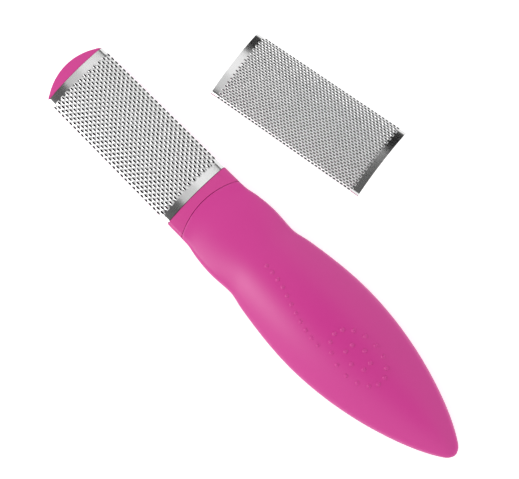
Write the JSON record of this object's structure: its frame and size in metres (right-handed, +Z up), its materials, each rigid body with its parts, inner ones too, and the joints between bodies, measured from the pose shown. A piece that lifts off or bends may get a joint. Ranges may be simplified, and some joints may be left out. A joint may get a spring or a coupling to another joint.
{
  "type": "foot file",
  "caption": "Foot file with a leaf-shaped moulded handle, a clip-on bowed and perforated rasp sheet on its head, and a spare finer sheet beside it, for smoothing hard skin.",
  "frame": {"origin": "under the widest part of the grip, on the flat back that the tool lies on", "axes": "+X along the tool from nose to tail, +Y across it towards the spare sheet, +Z up, out of the working face"},
  "size_m": [0.1897, 0.0796, 0.0142],
  "materials": {
    "handle_plastic": "satin pink moulding",
    "head_plastic": "satin pink moulding, slightly lighter",
    "rasp_steel": "bright stainless sheet"
  },
  "bodies": {
    "tool": {"upper_shell": "handle_plastic", "lower_shell": "handle_plastic", "head": "head_plastic"},
    "mounted_sheet": {"coarse_rasp": "rasp_steel"},
    "spare_sheet": {"fine_rasp": "rasp_steel"}
  },
  "joints": [
    {"name": "coarse_rasp_lift", "type": "slide", "parent": "tool", "child": "mounted_sheet", "axis": [0, 0, 1], "range_m": [0, 0.03]},
    {"name": "fine_rasp_lift", "type": "slide", "parent": "tool", "child": "spare_sheet", "axis": [0, 0, 1], "range_m": [0, 0.03]}
  ]
}
